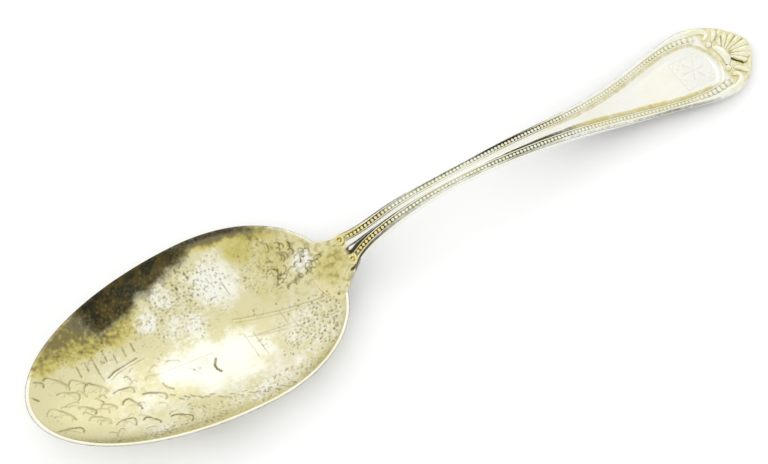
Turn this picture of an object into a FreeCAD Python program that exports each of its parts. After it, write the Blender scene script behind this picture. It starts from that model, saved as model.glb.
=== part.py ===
import FreeCAD, Part
import math
import os

from FreeCAD import Placement, Rotation, Vector

# A silver teaspoon with a gilt bowl, lying face up.  +X runs along the spoon from the bowl's tip to
# the handle's end, +Z is up, and the origin is on the table under the middle of the spoon's length.
# Stations along the spoon are counted from the bowl's tip.  All sizes are millimetres.

DIMENSIONS = {
    "spoon_length": 150.0,
    # bowl: an egg of two half ellipses, with the narrow end at the tip
    "bowl_widest": 37.0,
    "bowl_front_reach": 36.6,
    "bowl_back_reach": 22.8,
    "bowl_half_width": 18.05,
    "bowl_depth": 6.5,
    "bowl_wall": 0.9,
    "rim_share": 0.9,
    "bowl_tilt": 6.1,
    "wear_flat": 0.035,
    "rim_tip_height": 10.95,
    "rim_middle_height": 7.14,
    "rim_heel_height": 4.35,
    # drop: the tongue that runs from the neck under the bowl
    "drop_half_length": 8.5,
    "drop_half_width": 3.2,
    "drop_half_height": 1.5,
    "drop_station": 55.5,
    "drop_height": 3.3,
    "drop_slope": 20.0,
    # handle: half width of the outline, at the stations of OUTLINE_STATIONS
    "width_root": 6.6,
    "root_bulge": 2.5,
    "width_fold": 4.8,
    "width_neck": 3.2,
    "width_rise": 1.98,
    "width_waist": 1.53,
    "width_stem": 2.05,
    "width_flare": 3.0,
    "width_blade": 5.2,
    "width_breast": 7.15,
    "width_shoulder": 8.25,
    "width_corner": 6.95,
    "width_finial": 3.2,
    # handle: height of the seat that the borders stand on, at the stations of HEIGHT_STATIONS
    "seat_root": 4.2,
    "seat_neck": 8.1,
    "seat_rise": 11.0,
    "seat_crest": 12.05,
    "seat_fall": 10.6,
    "seat_bend": 7.4,
    "seat_flare": 4.4,
    "seat_breast": 2.9,
    "seat_end": 2.0,
    # handle: height of the underside at the same stations
    "back_root": 2.1,
    "back_neck": 5.3,
    "back_rise": 8.5,
    "back_crest": 9.9,
    "back_fall": 8.5,
    "back_bend": 5.5,
    "back_flare": 2.6,
    "back_breast": 0.95,
    "handle_flat_start": 141.0,
    "handle_flat_end": 148.0,
    "handle_end_lift": 0.4,
    # borders: distance of the bead row from the outline, and what stands on the seat
    "inset_neck": 1.1,
    "inset_waist": 0.54,
    "inset_stem": 0.68,
    "inset_blade": 1.1,
    "inset_breast": 1.2,
    "inset_shoulder": 2.5,
    "border_start": 62.6,
    "border_end": 141.0,
    "channel_start": 61.0,
    "channel_end": 142.6,
    "channel_depth": 0.6,
    "rim_height": 0.3,
    "fillet_height": 0.3,
    "fillet_width": 0.2,
    "bead_radius_neck": 0.36,
    "bead_radius_end": 0.62,
    "bead_growth_start": 0.88,
    "bead_spacing": 1.04,
    "bead_clearance": 0.04,
    "bead_lift": 0.003,
    "band_stations": 40,
    # small ornaments
    "volute_radius": 0.75,
    "volute_wire": 0.3,
    "volute_lift": 0.01,
    "volute_station": 61.45,
    "volute_offset": 2.25,
    "scroll_wire": 0.6,
    "pearl_radius": 0.66,
    "pearl_station": 143.2,
    "pearl_offset": 3.1,
    "leaf_half_length": 1.5,
    "leaf_half_width": 0.55,
    "leaf_station": 145.15,
    "leaf_offset": 4.45,
    "leaf_turn": 50.0,
    "crescent_half_length": 1.15,
    "crescent_half_width": 2.3,
    "crescent_half_height": 0.65,
    "crescent_station": 144.2,
    "shell_station": 144.1,
    "shell_length": 5.6,
    "shell_side_length": 4.3,
    "shell_lobe_rise": 0.3,
    "shell_half_angle": 58.0,
    "shell_height": 0.6,
    "shell_groove_start": 2.0,
    "shell_groove_width": 0.25,
    "shell_groove_floor": 0.25,
    "shell_lobes": 7,
}

OUTLINE_STATIONS = {
    "root": 57.0,
    "fold": 59.4,
    "neck": 62.0,
    "rise": 69.5,
    "waist": 82.0,
    "stem": 97.0,
    "flare": 109.5,
    "blade": 123.5,
    "breast": 132.8,
    "shoulder": 141.0,
    "corner": 145.0,
    "finial": 148.7,
}
HEIGHT_STATIONS = {
    "root": 55.0,
    "neck": 63.0,
    "rise": 70.5,
    "crest": 82.0,
    "fall": 96.0,
    "bend": 110.0,
    "flare": 123.0,
    "breast": 136.0,
}
INSET_STATIONS = {"neck": 62.0, "waist": 82.0, "stem": 100.0, "blade": 123.0, "breast": 133.0, "shoulder": 141.0}

SAFE = 40.0  # how far cutting solids reach past what they cut

doc = FreeCAD.newDocument("souvenir_spoon")
sheet = doc.addObject("Spreadsheet::Sheet", "dims")
for row, (alias, value) in enumerate(DIMENSIONS.items(), start=1):
    sheet.set("A%d" % row, alias)
    sheet.set("B%d" % row, str(value))
    sheet.setAlias("B%d" % row, alias)
doc.recompute()


def size(alias):
    """The number in one cell of the sheet."""
    return float(sheet.get(alias))


def at(station, side=0.0, height=0.0):
    """A point given by its distance from the bowl's tip."""
    return Vector(station - size("spoon_length") / 2, side, height)


def bind(thing, **formulas):
    """Bind properties of an object to cells of the sheet."""
    for name, formula in formulas.items():
        thing.setExpression(name.replace("__", "."), formula)
    return thing


def join(kind, name, base, tool):
    """A Part boolean of two objects: Common, Cut or Fuse."""
    thing = doc.addObject("Part::" + kind, name)
    thing.Base = base
    thing.Tool = tool
    return thing


def curve(points):
    """A smooth curve through the points."""
    spline = Part.BSplineCurve()
    spline.interpolate(points)
    return spline


def line(start, end):
    return Part.LineSegment(start, end)


def sketch(name, edges, upright=False):
    """A closed sketch of the edges in order, on the XY plane or upright on the XZ plane."""
    thing = doc.addObject("Sketcher::SketchObject", name)
    if upright:
        thing.Placement = Placement(Vector(), Rotation(Vector(1, 0, 0), 90))
    for edge in edges:
        thing.addGeometry(edge, False)
    return thing


def slab(name, edges, upright=False):
    """The sketched outline pushed through, both ways, further than the spoon reaches."""
    thing = doc.addObject("Part::Extrusion", name)
    thing.Base = sketch(name + "_sketch", edges, upright)
    thing.DirMode = "Normal"
    thing.LengthFwd = 2 * SAFE
    thing.Symmetric = True
    thing.Solid = True
    return thing


def ellipsoid(name, length, width, height):
    """A whole ellipsoid whose half axes are formulas of the sheet."""
    thing = doc.addObject("Part::Ellipsoid", name)
    thing.Angle1 = -90
    thing.Angle2 = 90
    thing.Angle3 = 360
    return bind(thing, Radius1=height, Radius2=length, Radius3=width)


def mirrored(name, base):
    """The same piece on the other side of the spoon."""
    thing = doc.addObject("Part::Mirroring", name)
    thing.Source = base
    thing.Normal = Vector(0, 1, 0)
    return thing


# ---------------------------------------------------------------- curves of the handle
def outline_points(stations=OUTLINE_STATIONS):
    return [(stations[key], size("width_" + key)) for key in stations]


def flat(station, side):
    """A point of a sketch on the XY plane."""
    return Vector(at(station).x, side, 0)


def raised(station, height):
    """A point of an upright sketch."""
    return Vector(at(station).x, height, 0)


HALF_OUTLINE = curve([flat(x, y) for x, y in outline_points()])
SEAT = curve(
    [raised(x, size("seat_" + key)) for key, x in HEIGHT_STATIONS.items()]
    + [raised(size("handle_flat_start") + 1.5, size("seat_end")), raised(size("spoon_length") + 1, size("seat_end"))]
)
INSET = curve([Vector(x, size("inset_" + key), 0) for key, x in INSET_STATIONS.items()])


def value_at(spline, x):
    """Height of a left-to-right curve over x."""
    low, high = spline.FirstParameter, spline.LastParameter
    for _ in range(60):
        middle = (low + high) / 2
        if spline.value(middle).x < x:
            low = middle
        else:
            high = middle
    return spline.value((low + high) / 2).y


def half_width(station):
    return value_at(HALF_OUTLINE, at(station).x)


def seat_height(station):
    return value_at(SEAT, at(station).x)


def seat_angle(station):
    """Slope of the seat in degrees, positive where it rises towards the handle's end."""
    rise = seat_height(station + 0.1) - seat_height(station - 0.1)
    return math.degrees(math.atan2(rise, 0.2))


def bead_line(station):
    """Distance of the bead row from the spoon's middle."""
    return half_width(station) - value_at(INSET, station)


def bead_radius(station):
    """Beads are equal along the stem and grow towards the scroll."""
    start, end = size("border_start"), size("border_end")
    share = (station - start) / (end - start)
    growth = max(0.0, (share - size("bead_growth_start")) / (1 - size("bead_growth_start")))
    return size("bead_radius_neck") + growth * (size("bead_radius_end") - size("bead_radius_neck"))


# ---------------------------------------------------------------- bowl
def egg(name, wall):
    """The egg whose lower part is the bowl's surface: two half ellipsoids that share a middle."""
    halves = []
    for side, turn, reach in (
        ("front", 90, "dims.bowl_front_reach"),
        ("back", -90, "dims.bowl_back_reach"),
    ):
        half = doc.addObject("Part::Ellipsoid", "%s_%s" % (name, side))
        half.Angle1 = -90
        half.Angle2 = 90
        half.Angle3 = 180
        bind(
            half,
            Radius1="dims.bowl_depth / (1 - sqrt(1 - dims.rim_share ^ 2)) - %s" % wall,
            Radius2="dims.bowl_half_width / dims.rim_share - %s" % wall,
            Radius3="%s / dims.rim_share - %s" % (reach, wall),
        )
        half.Placement = Placement(Vector(), Rotation(Vector(0, 0, 1), turn))
        halves.append(half)
    return join("Fuse", name, *halves)


def egg_lift():
    """Height of the egg's middle that puts its lowest point just under the table."""
    tilt = math.radians(size("bowl_tilt"))
    height = size("bowl_depth") / (1 - math.sqrt(1 - size("rim_share") ** 2))
    reach = size("bowl_back_reach") / size("rim_share")
    return math.hypot(height * math.cos(tilt), reach * math.sin(tilt)) - size("wear_flat")


def make_eggs():
    """The bowl's outer and inner eggs, tipped so that the bowl's tip is the higher end."""
    eggs = [egg("outer_egg", "0"), egg("inner_egg", "dims.bowl_wall")]
    for thing in eggs:
        middle = at(size("bowl_widest"), 0, egg_lift())
        thing.Placement = Placement(middle, Rotation(Vector(0, 1, 0), size("bowl_tilt")))
    return eggs


def make_bowl(outer, inner):
    """The shell between the eggs, cut by the sweep of the rim above and the wear flat below."""
    heel = size("bowl_widest") + size("bowl_back_reach")
    ends = [raised(-2, size("rim_tip_height")), raised(heel + 2, size("rim_heel_height"))]
    rim = Part.Arc(ends[0], raised(heel / 2, size("rim_middle_height")), ends[1])
    corners = [Vector(ends[1].x, 0, 0), Vector(ends[0].x, 0, 0)]
    edges = [rim, line(ends[1], corners[0]), line(corners[0], corners[1]), line(corners[1], ends[0])]
    shell = join("Cut", "bowl_shell", outer, inner)
    return join("Common", "bowl", shell, slab("rim_side", edges, upright=True))


def make_heel_drop(outer, plate):
    """The tapering tongue on the bowl's back that carries the neck."""
    blister = ellipsoid("drop_blister", "dims.drop_half_length", "dims.drop_half_width", "dims.drop_half_height")
    blister.Placement = Placement(
        at(size("drop_station"), 0, size("drop_height")), Rotation(Vector(0, 1, 0), -size("drop_slope"))
    )
    return join("Cut", "heel_drop", join("Cut", "drop_under_bowl", blister, outer), plate)


# ---------------------------------------------------------------- handle
def make_plate(outer):
    """The handle's solid: its outline and its side view, with the channel sunk in its face.

    The side view is returned too: whatever stands on the seat is cut by it.
    """
    left = [flat(x, y) for x, y in outline_points()]
    tip = [flat(size("spoon_length"), 0)]
    right = [Vector(point.x, -point.y, 0) for point in reversed(left)]
    root = Part.Arc(right[-1], flat(OUTLINE_STATIONS["root"] - size("root_bulge"), 0), left[0])
    plan = slab("plate_plan", [curve(left + tip + right), root])

    back = [raised(x, size("back_" + key)) for key, x in HEIGHT_STATIONS.items()]
    flat_start = raised(size("handle_flat_start"), 0)
    flat_end = raised(size("handle_flat_end"), 0)
    far_end = raised(size("spoon_length") + 1, size("handle_end_lift"))
    top_start, top_end = SEAT.value(SEAT.FirstParameter), SEAT.value(SEAT.LastParameter)
    side = slab(
        "plate_side",
        [
            SEAT,
            line(top_end, far_end),
            line(far_end, flat_end),
            line(flat_end, flat_start),
            curve([flat_start] + back[::-1]),
            line(back[0], top_start),
        ],
        upright=True,
    )
    blank = join("Cut", "plate_blank", join("Common", "plate_block", plan, side), outer)
    return join("Cut", "handle_plate", blank, make_channel()), side


def band_edges(outer_half, inner_half):
    """Plan of a strip along the left border, between two distances from the spoon's middle."""
    count = int(size("band_stations"))
    start = size("border_start")
    step = (size("border_end") - start) / count
    stations = [start + number * step for number in range(count + 1)]
    outer = [flat(x, outer_half(x)) for x in stations]
    inner = [flat(x, inner_half(x)) for x in stations]
    return [curve(outer), line(outer[-1], inner[-1]), curve(inner[::-1]), line(inner[0], outer[0])]


def bead_reach(station):
    """Room for a bead on either side of the bead line."""
    return bead_radius(station) + size("bead_clearance")


def channel_half_width(station):
    return bead_line(station) - bead_reach(station) - size("fillet_width")


def make_channel():
    """What is sunk between the borders, from the neck to the field at the handle's end."""
    start, end = size("channel_start"), size("channel_end")
    middle = [x for x in OUTLINE_STATIONS.values() if start < x < end and x > size("border_start") + 1]
    left = [flat(x, channel_half_width(x)) for x in [start + 1] + middle]
    right = [Vector(point.x, -point.y, 0) for point in reversed(left)]
    front = Part.Arc(right[-1], flat(start, 0), left[0])
    rear = Part.Arc(left[-1], flat(end, 0), right[0])
    plan = slab("channel_plan", [curve(left), rear, curve(right), front])
    floor = band_side("channel_side", -size("channel_depth"), 2.0)
    return join("Common", "channel", plan, floor)


def band_side(name, low, high):
    """Side view of a layer that follows the seat, between two heights above it."""
    poles = []
    for offset in (low, high):
        layer = SEAT.copy()
        layer.translate(Vector(0, offset, 0))
        poles.append(layer)
    bottom, top = poles
    first, last = bottom.FirstParameter, bottom.LastParameter
    edges = [top, line(top.value(last), bottom.value(last)), bottom, line(bottom.value(first), top.value(first))]
    return slab(name, edges, upright=True)


def make_borders():
    """The plain outer rim and the inner fillet, left and right."""
    pieces = []
    edges = band_edges(half_width, lambda x: bead_line(x) + bead_reach(x))
    rim = join("Common", "edge_rim_left", slab("rim_plan", edges), band_side("rim_layer", 0, size("rim_height")))
    edges = band_edges(lambda x: bead_line(x) - bead_reach(x), channel_half_width)
    layer = band_side("fillet_layer", 0, size("fillet_height"))
    fillet = join("Common", "inner_fillet_left", slab("fillet_plan", edges), layer)
    for piece in (rim, fillet):
        pieces += [piece, mirrored(piece.Name.replace("left", "right"), piece)]
    return pieces


def make_beads():
    """Rows of half-round beads standing on the seat, each touching the next but for a hair."""
    beads = []
    station = size("border_start") + bead_radius(size("border_start"))
    while station < size("border_end"):
        radius = bead_radius(station)
        slope = seat_angle(station)
        place = at(station, bead_line(station), seat_height(station) + size("bead_lift"))
        upright = Rotation(Vector(0, 1, 0), -slope).multVec(Vector(0, 0, 1))
        beads.append(Part.makeSphere(radius, place, upright, 0, 90, 360))
        ahead = bead_line(station + radius) - bead_line(station)
        run = math.hypot(1.0, ahead / radius) / math.cos(math.radians(slope))
        station += size("bead_spacing") * 2 * radius / run
    row = doc.addObject("Part::Feature", "bead_border_left")
    row.Shape = Part.makeCompound(beads)
    return [row, mirrored("bead_border_right", row)]


def seated(station, side):
    """Placement of a piece that stands on the seat and leans with it."""
    return Placement(at(station, side, seat_height(station)), Rotation(Vector(0, 1, 0), -seat_angle(station)))


def make_volutes():
    """Small half-round rings that end the bead rows at the neck."""
    ring = bind(
        doc.addObject("Part::Torus", "neck_volute_left"),
        Radius1="dims.volute_radius",
        Radius2="dims.volute_wire",
    )
    ring.Angle1 = -180
    ring.Angle2 = 0
    ring.Placement = seated(size("volute_station"), size("volute_offset"))
    ring.Placement.Base.z += size("volute_lift")
    return [ring, mirrored("neck_volute_right", ring)]


# ---------------------------------------------------------------- ornaments of the handle's end
SCROLL_ROUTE = [(141.75, 7.4), (143.1, 7.0), (144.05, 6.25), (144.3, 5.35), (143.6, 4.7), (142.8, 4.65)]


def make_scrolls(below_seat):
    """C scrolls that carry the rims round the corners and turn in beside the shell."""
    height = size("seat_end")
    path = doc.addObject("Part::Feature", "scroll_path")
    path.Shape = curve([at(x, y, height) for x, y in SCROLL_ROUTE]).toShape()
    profile = bind(doc.addObject("Part::Circle", "scroll_profile"), Radius="dims.scroll_wire")
    route = path.Shape.Edges[0]
    first = route.FirstParameter
    profile.Placement = Placement(route.valueAt(first), Rotation(Vector(0, 0, 1), route.tangentAt(first)))
    tube = doc.addObject("Part::Sweep", "scroll_tube")
    tube.Sections = [profile]
    tube.Spine = (path, ["Edge1"])
    tube.Solid = True
    tube.Frenet = False
    left = join("Cut", "end_scroll_left", tube, below_seat)
    return [left, mirrored("end_scroll_right", left)]


def make_pearls(below_seat, scroll):
    """The balls on the scrolls' inner ends."""
    ball = bind(doc.addObject("Part::Sphere", "pearl_ball"), Radius="dims.pearl_radius")
    ball.Placement.Base = at(size("pearl_station"), size("pearl_offset"), size("seat_end"))
    left = join("Cut", "scroll_pearl_left", join("Cut", "pearl_on_seat", ball, below_seat), scroll)
    return [left, mirrored("scroll_pearl_right", left)]


def make_leaves(below_seat):
    """Plain leaves between the scrolls and the shell."""
    blade = ellipsoid("leaf_blade", "dims.leaf_half_length", "dims.leaf_half_width", "dims.leaf_half_width")
    place = at(size("leaf_station"), size("leaf_offset"), size("seat_end"))
    blade.Placement = Placement(place, Rotation(Vector(0, 0, 1), size("leaf_turn")))
    left = join("Cut", "side_leaf_left", blade, below_seat)
    return [left, mirrored("side_leaf_right", left)]


def make_crescent(below_seat):
    """The half moon at the foot of the shell."""
    moon = ellipsoid("moon", "dims.crescent_half_length", "dims.crescent_half_width", "dims.crescent_half_height")
    moon.Placement.Base = at(size("crescent_station"), 0, size("seat_end"))
    return join("Cut", "shell_crescent", moon, below_seat)


def shell_reach(share):
    """The shell's radius: full in the middle and less towards both sides, where share is -1 and 1."""
    return size("shell_length") - abs(share) * (size("shell_length") - size("shell_side_length"))


def shell_point(share, radius):
    """A point of the shell's plan at a share of the fan's half angle."""
    angle = math.radians(share * size("shell_half_angle"))
    return flat(size("shell_station") + radius * math.cos(angle), radius * math.sin(angle))


def make_shell(crescent):
    """The scallop shell at the handle's end: a fan with a lobed edge and grooves between its lobes."""
    lobes = int(size("shell_lobes"))
    shares = [2 * number / lobes - 1 for number in range(lobes + 1)]
    foot = flat(size("shell_station"), 0)
    corners = [shell_point(share, shell_reach(share)) for share in shares]
    edges = [line(foot, corners[0])]
    for number in range(lobes):
        middle = (shares[number] + shares[number + 1]) / 2
        crown = shell_point(middle, shell_reach(middle) + size("shell_lobe_rise"))
        edges.append(Part.Arc(corners[number], crown, corners[number + 1]))
    edges.append(line(corners[-1], foot))
    height = size("shell_height")
    fan = join("Common", "shell_fan", slab("shell_plan", edges), band_side("shell_layer", 0, height))

    wide = size("shell_groove_width")
    bars = []
    for share in shares[1:-1]:
        bar = Part.makeBox(size("shell_length"), wide, height, Vector(size("shell_groove_start"), -wide / 2, 0))
        bar.rotate(Vector(), Vector(0, 0, 1), share * size("shell_half_angle"))
        bar.translate(at(size("shell_station"), 0, size("seat_end") + size("shell_groove_floor")))
        bars.append(bar)
    grooves = doc.addObject("Part::Feature", "shell_grooves")
    grooves.Shape = Part.makeCompound(bars)
    return join("Cut", "shell_finial", join("Cut", "shell_grooved", fan, grooves), crescent)


def check(pieces):
    """Stop if any object failed, or if a piece is not one or more sound solids."""
    for thing in doc.Objects:
        if "Invalid" in thing.State or "Error" in thing.State:
            raise RuntimeError("%s failed: %s" % (thing.Name, thing.State))
    for piece in pieces:
        shape = piece.Shape
        if shape.isNull() or not shape.isValid() or not shape.Solids:
            raise RuntimeError("%s is not a sound solid" % piece.Name)
        box = shape.BoundBox
        print(
            "%-20s solids %3d volume %8.2f  x %.2f %.2f  y %.2f %.2f  z %.3f %.2f"
            % (piece.Label, len(shape.Solids), shape.Volume, box.XMin, box.XMax, box.YMin, box.YMax, box.ZMin, box.ZMax)
        )


def main():
    outer, inner = make_eggs()
    plate, below_seat = make_plate(outer)
    pieces = [make_bowl(outer, inner), plate, make_heel_drop(outer, plate)]
    pieces += make_borders()
    pieces += make_beads()
    pieces += make_volutes()
    scrolls = make_scrolls(below_seat)
    pieces += scrolls
    pieces += make_pearls(below_seat, scrolls[0])
    pieces += make_leaves(below_seat)
    crescent = make_crescent(below_seat)
    pieces.append(crescent)
    pieces.append(make_shell(crescent))
    doc.recompute()
    for piece in pieces:
        piece.Label = piece.Name
    check(pieces)
    os.makedirs("parts", exist_ok=True)
    for piece in pieces:
        piece.Shape.exportStep("parts/%s.step" % piece.Label)


main()
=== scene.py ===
import math
import random

import bpy
import numpy as np
from mathutils import Matrix, Vector, noise


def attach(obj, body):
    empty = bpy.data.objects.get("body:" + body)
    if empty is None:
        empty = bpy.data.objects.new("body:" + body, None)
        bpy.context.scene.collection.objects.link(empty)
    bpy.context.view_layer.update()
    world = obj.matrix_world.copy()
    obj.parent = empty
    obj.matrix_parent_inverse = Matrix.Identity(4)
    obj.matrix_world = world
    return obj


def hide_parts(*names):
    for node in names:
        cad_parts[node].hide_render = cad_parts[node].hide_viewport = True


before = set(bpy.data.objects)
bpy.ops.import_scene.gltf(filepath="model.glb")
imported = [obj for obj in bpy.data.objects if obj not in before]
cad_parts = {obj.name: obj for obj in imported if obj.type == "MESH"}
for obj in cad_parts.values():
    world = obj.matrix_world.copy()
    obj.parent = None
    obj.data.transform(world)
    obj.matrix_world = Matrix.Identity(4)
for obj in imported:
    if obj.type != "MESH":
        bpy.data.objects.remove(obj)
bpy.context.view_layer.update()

# A silver souvenir teaspoon with an engraved, gilt bowl.  Sizes are millimetres until a mesh is made.
# Stations run along the spoon from the bowl's tip; the frame's origin is under station 75.
MM = 0.001
SPOON_LENGTH = 150.0

# the bowl: half an egg in front of its widest station and half an egg behind it, tilted to the table
BOWL_WIDEST = 37.0
BOWL_FRONT_REACH = 36.6
BOWL_BACK_REACH = 22.8
BOWL_HALF_WIDTH = 18.05
BOWL_DEPTH = 6.5
BOWL_WALL = 0.9
HEEL_FULLNESS = 0.027
BOWL_TILT = math.radians(6.1)
RIM_SHARE = 0.9
WEAR_FLAT = 0.035
RIM_WALL = 0.42
RIM_SIDE_VIEW = ((-2.0, 10.95), (29.65, 7.14), (61.3, 4.35))
RIM_CROWN = 0.1
BOWL_GRID = (376, 226)

# the handle, each by station: half width, height of the face, height of the back, inset of the beads
OUTLINE = (
    (57.0, 6.6), (59.4, 4.8), (62.0, 3.2), (69.5, 1.98), (82.0, 1.53), (97.0, 2.05),
    (109.5, 3.0), (123.5, 5.2), (132.8, 7.15), (141.0, 8.25), (145.0, 6.95), (148.7, 3.2),
)
SEAT = (
    (55.0, 4.2), (63.0, 8.1), (70.5, 11.0), (82.0, 12.05), (96.0, 10.6),
    (110.0, 7.4), (123.0, 4.4), (136.0, 2.9), (142.5, 2.0), (151.0, 2.0),
)
BACK = (
    (55.0, 2.1), (63.0, 5.3), (70.5, 8.5), (82.0, 9.9), (96.0, 8.5), (110.0, 5.5),
    (123.0, 2.6), (136.0, 0.95), (141.0, 0.02), (148.0, 0.02), (151.0, 0.4),
)
INSET = ((62.0, 1.1), (82.0, 0.54), (100.0, 0.68), (123.0, 1.1), (133.0, 1.2), (141.0, 2.5))
ROOT_START = 54.5
ROOT_END, ROOT_HALF_WIDTH = OUTLINE[0]
END_SEAT = SEAT[-1][1]

BORDER_START = 62.6
BORDER_END = 141.0
CHANNEL_START = 61.0
CHANNEL_STRAIGHT_END = 140.0
CHANNEL_END = 142.6
CHANNEL_DEPTH = 0.6
RIM_HEIGHT = 0.34
FILLET_HEIGHT = 0.3
FILLET_WIDTH = 0.2
BEAD_RADIUS = 0.36
BEAD_RADIUS_END = 0.62
BEAD_GROWTH_START = 0.88
BEAD_SPACING = 1.04
BEAD_CLEARANCE = 0.04


# ---- curves
def natural_spline(points):
    """A natural cubic through (x, y) points, as a function of arrays of x."""
    xs, ys = (np.array(column, float) for column in zip(*points))
    gaps = np.diff(xs)
    rise = np.diff(ys) / gaps
    count = len(xs)
    matrix = np.eye(count)
    right = np.zeros(count)
    for k in range(1, count - 1):
        matrix[k, k - 1 : k + 2] = gaps[k - 1], 2 * (gaps[k - 1] + gaps[k]), gaps[k]
        right[k] = 6 * (rise[k] - rise[k - 1])
    bend = np.linalg.solve(matrix, right)

    def value(x):
        x = np.clip(np.asarray(x, float), xs[0], xs[-1])
        k = np.clip(np.searchsorted(xs, x, side="right") - 1, 0, count - 2)
        h = gaps[k]
        a, b = (xs[k + 1] - x) / h, (x - xs[k]) / h
        curved = ((a**3 - a) * bend[k] + (b**3 - b) * bend[k + 1]) * h * h / 6
        return a * ys[k] + b * ys[k + 1] + curved

    return value


def path_spline(points, count):
    """Evenly spaced points of a smooth curve through points of any dimension."""
    points = np.array(points, float)
    chord = np.r_[0, np.cumsum(np.linalg.norm(np.diff(points, axis=0), axis=1))]
    axes = [natural_spline(list(zip(chord, column))) for column in points.T]
    fine = np.linspace(0, chord[-1], 4 * count)
    curve = np.stack([axis(fine) for axis in axes], 1)
    length = np.r_[0, np.cumsum(np.linalg.norm(np.diff(curve, axis=0), axis=1))]
    even = np.linspace(0, length[-1], count)
    return np.stack([np.interp(even, length, column) for column in curve.T], 1)


def smooth(low, high, x):
    """0 below low, 1 above high, and a smooth step between."""
    t = np.clip((np.asarray(x, float) - low) / (high - low), 0, 1)
    return t * t * (3 - 2 * t)


tip_outline = list(OUTLINE) + [(SPOON_LENGTH, 0.0)] + [(x, -y) for x, y in reversed(OUTLINE)]
plan = path_spline(tip_outline, 4000)
plan = plan[plan[:, 1] >= 0]
inset_spline = natural_spline(INSET)
seat_height = natural_spline(SEAT)
back_height = natural_spline(BACK)


def half_width(station):
    return np.interp(station, plan[:, 0], plan[:, 1], right=0.0)


def bead_line(station):
    return half_width(station) - inset_spline(station)


def bead_radius(station):
    share = (np.asarray(station, float) - BORDER_START) / (BORDER_END - BORDER_START)
    growth = np.clip((share - BEAD_GROWTH_START) / (1 - BEAD_GROWTH_START), 0, None)
    return BEAD_RADIUS + growth * (BEAD_RADIUS_END - BEAD_RADIUS)


def bead_reach(station):
    return bead_radius(station) + BEAD_CLEARANCE


def channel_half_width(station):
    return bead_line(station) - bead_reach(station) - FILLET_WIDTH


def straight_channel(station):
    """Half width of the channel, kept to the stretch between its round ends."""
    return channel_half_width(np.clip(station, BORDER_START, CHANNEL_STRAIGHT_END))


def seat_slope(station):
    return (seat_height(station + 0.1) - seat_height(station - 0.1)) / 0.2


# ---- the bowl's egg
EGG_HEIGHT = BOWL_DEPTH / (1 - math.sqrt(1 - RIM_SHARE**2))
EGG_BACK = BOWL_BACK_REACH / RIM_SHARE
EGG_LIFT = math.hypot(EGG_HEIGHT * math.cos(BOWL_TILT), EGG_BACK * math.sin(BOWL_TILT)) - WEAR_FLAT


def egg_point(angle, share, wall):
    """Point of the egg and the unit normal that points out of the metal of its outer face."""
    reach = np.where(np.cos(angle) < 0, BOWL_FRONT_REACH, BOWL_BACK_REACH) / RIM_SHARE - wall
    half = BOWL_HALF_WIDTH / RIM_SHARE - wall
    height = EGG_HEIGHT - wall
    local = np.stack(
        [reach * share * np.cos(angle), half * share * np.sin(angle), -height * np.sqrt(1 - share**2)], -1
    )
    normal = local / np.stack([reach**2, reach * 0 + half**2, reach * 0 + height**2], -1)
    normal /= np.linalg.norm(normal, axis=-1, keepdims=True)
    fuller = 1 + HEEL_FULLNESS * np.sin(2 * angle) ** 2 * (np.cos(angle) > 0) * share**2
    local[..., :2] *= fuller[..., None]
    cos, sin = math.cos(BOWL_TILT), math.sin(BOWL_TILT)
    turn = np.array([[cos, 0, sin], [0, 1, 0], [-sin, 0, cos]])
    return local @ turn.T + (BOWL_WIDEST, 0, EGG_LIFT), normal @ turn.T


def wall_at(radius):
    """The bowl's wall, thinner at the rim."""
    return BOWL_WALL - (BOWL_WALL - RIM_WALL) * smooth(0.7, 1.0, radius)


def circle_through(points):
    (ax, ay), (bx, by), (cx, cy) = points
    matrix = np.array([[bx - ax, by - ay], [cx - ax, cy - ay]])
    right = np.array([bx**2 - ax**2 + by**2 - ay**2, cx**2 - ax**2 + cy**2 - ay**2]) / 2
    x, y = np.linalg.solve(matrix, right)
    return x, y, math.hypot(ax - x, ay - y)


RIM_CIRCLE = circle_through(RIM_SIDE_VIEW)


def rim_height(station):
    x, y, radius = RIM_CIRCLE
    return y - np.sqrt(radius**2 - (station - x) ** 2)


def rim_share(angle, wall, below):
    """Share of the egg's radius at which its face comes up to the rim's sweep, less a little."""
    low, high = np.full_like(angle, 0.3), np.full_like(angle, 0.995)
    for _ in range(40):
        middle = (low + high) / 2
        point, _ = egg_point(angle, middle, wall)
        under = point[..., 2] < rim_height(point[..., 0]) - below
        low, high = np.where(under, middle, low), np.where(under, high, middle)
    return (low + high) / 2


def disc_grid(columns, rows):
    """A square grid drawn onto the unit disc: angle and radius of each point."""
    u, v = np.meshgrid(np.linspace(-1, 1, columns + 1), np.linspace(-1, 1, rows + 1), indexing="ij")
    x, y = u * np.sqrt(1 - v * v / 2), v * np.sqrt(1 - u * u / 2)
    return np.arctan2(y, x), np.minimum(np.hypot(x, y), 1)


def egg_height(station, side, wall):
    """Height of the egg's lower face over a plan point near the heel."""
    cos, sin = math.cos(BOWL_TILT), math.sin(BOWL_TILT)
    reach = BOWL_BACK_REACH / RIM_SHARE - wall
    half = BOWL_HALF_WIDTH / RIM_SHARE - wall
    height = EGG_HEIGHT - wall
    x = station - BOWL_WIDEST
    low, high = np.full_like(x, -EGG_LIFT), np.full_like(x, 0.0)
    for _ in range(40):
        middle = (low + high) / 2
        local_x, local_z = x * cos - middle * sin, x * sin + middle * cos
        outside = (local_x / reach) ** 2 + (side / half) ** 2 + (local_z / height) ** 2 > 1
        low, high = np.where(outside, middle, low), np.where(outside, high, middle)
    return low + EGG_LIFT


# ---- meshes and pieces
def new_object(name, data):
    thing = bpy.data.objects.new(name, data)
    bpy.context.scene.collection.objects.link(thing)
    return thing


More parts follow.
